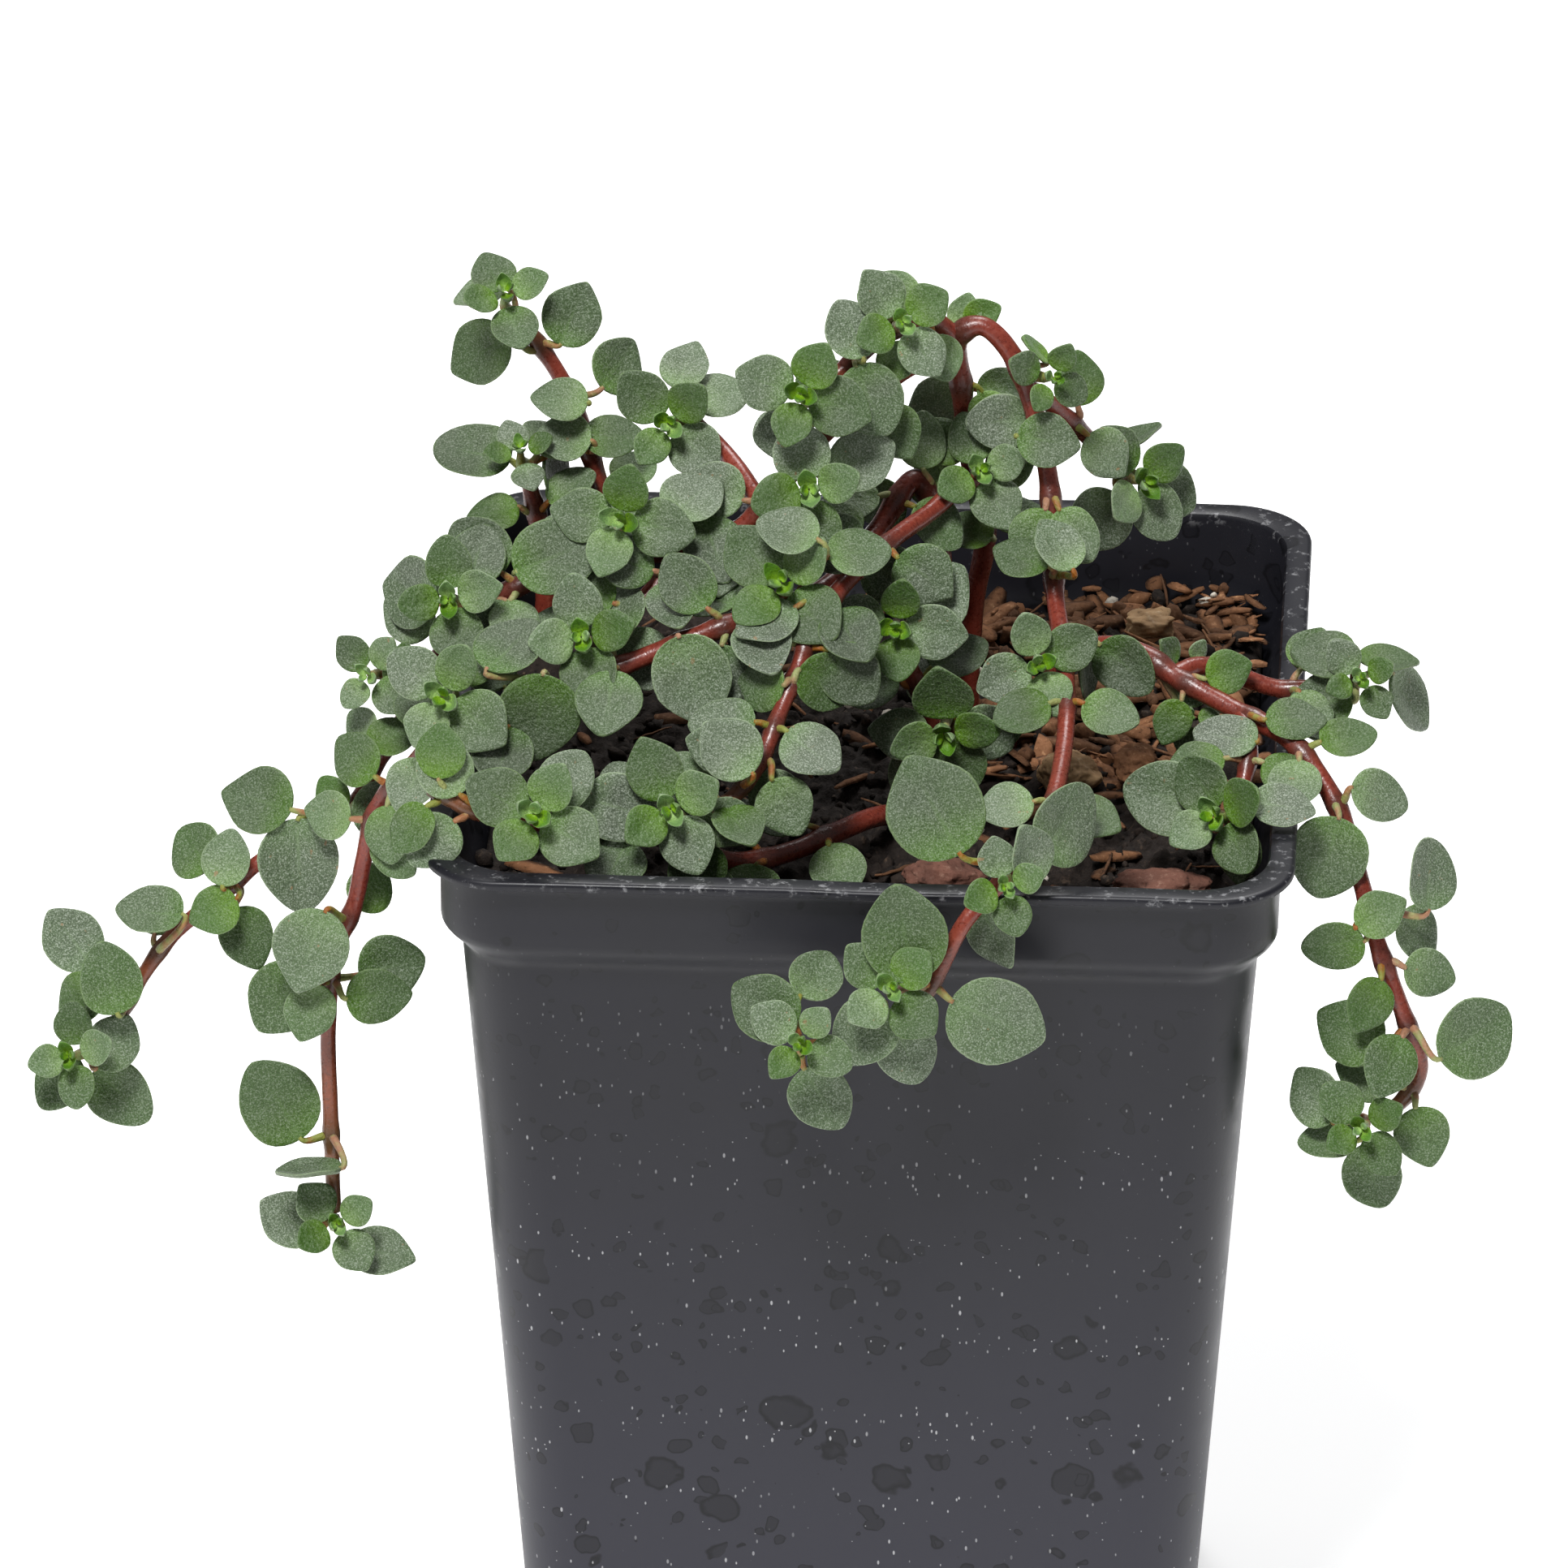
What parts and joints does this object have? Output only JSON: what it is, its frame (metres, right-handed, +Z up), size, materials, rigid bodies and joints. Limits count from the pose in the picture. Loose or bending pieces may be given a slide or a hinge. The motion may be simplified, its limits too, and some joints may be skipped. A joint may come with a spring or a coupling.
{
  "type": "potted pilea",
  "caption": "Trailing pilea with small round silver-green leaves on red stems, growing in a square tapered plastic nursery pot.",
  "frame": {"origin": "centre of the pot's flat base, on the surface that the pot stands on", "axes": "+Z up, -Y towards the front face seen most squarely in use, +X to the right of the front"},
  "size_m": [0.1108, 0.0745, 0.1177],
  "materials": {
    "pot_plastic": "satin black moulded plastic with water marks",
    "peat_soil": "damp dark peat with bark fibre and grit",
    "tan_grit": "rough tan stone",
    "lava_grit": "rough reddish lava stone",
    "bark": "dry bark chip",
    "stem": "glossy red living stem",
    "leaf": "finely pebbled silver green leaf"
  },
  "bodies": {
    "root": {"pot": "pot_plastic", "soil": "peat_soil", "tan_stone": "tan_grit", "brown_stone": "tan_grit", "lava_stone_left": "lava_grit", "lava_stone_right": "lava_grit", "bark_chip": "bark", "stem_arch": "stem", "stem_centre": "stem", "stem_right": "stem", "stem_back_left": "stem", "stem_back": "stem", "stem_low": "stem", "stem_front": "stem", "leaves_arch_top": "leaf", "leaves_arch_middle": "leaf", "leaves_arch_right": "leaf", "leaves_arch_drop": "leaf", "leaves_arch_foot": "leaf", "leaves_front_rim": "leaf", "leaves_front_end": "leaf", "leaves_front_tip": "leaf", "leaves_top_left_crown": "leaf", "leaves_top_left_middle": "leaf", "leaves_top_left_tip": "leaf", "leaves_left_upper": "leaf", "leaves_left_shoot_back": "leaf", "leaves_left_crest": "leaf", "leaves_left_crest_end": "leaf", "leaves_left_bend": "leaf", "leaves_left_shoulder": "leaf", "leaves_left_trail": "leaf", "leaves_left_trail_middle": "leaf", "leaves_left_trail_end": "leaf", "leaves_left_tip": "leaf", "leaves_left_front_tip": "leaf", "leaves_centre_crown": "leaf", "leaves_centre_left": "leaf", "leaves_centre_fall": "leaf", "leaves_centre_rim": "leaf", "leaves_centre_hang": "leaf", "leaves_centre_hang_middle": "leaf", "leaves_centre_hang_low": "leaf", "leaves_centre_tip": "leaf", "leaves_middle_low": "leaf", "leaves_middle_tip": "leaf", "leaves_low_end": "leaf", "leaves_front_crown": "leaf", "leaves_front_low_tip": "leaf", "leaves_right_low_tip": "leaf", "leaves_right_rim": "leaf", "leaves_right_hang": "leaf", "leaves_right_end": "leaf", "leaves_right_tip": "leaf", "leaves_right_side_tip": "leaf", "leaves_right_back_tip": "leaf", "leaves_back_left_middle": "leaf", "leaves_back_left_top": "leaf", "leaves_back_left_tip": "leaf", "leaves_back_tip": "leaf"}
  },
  "joints": []
}
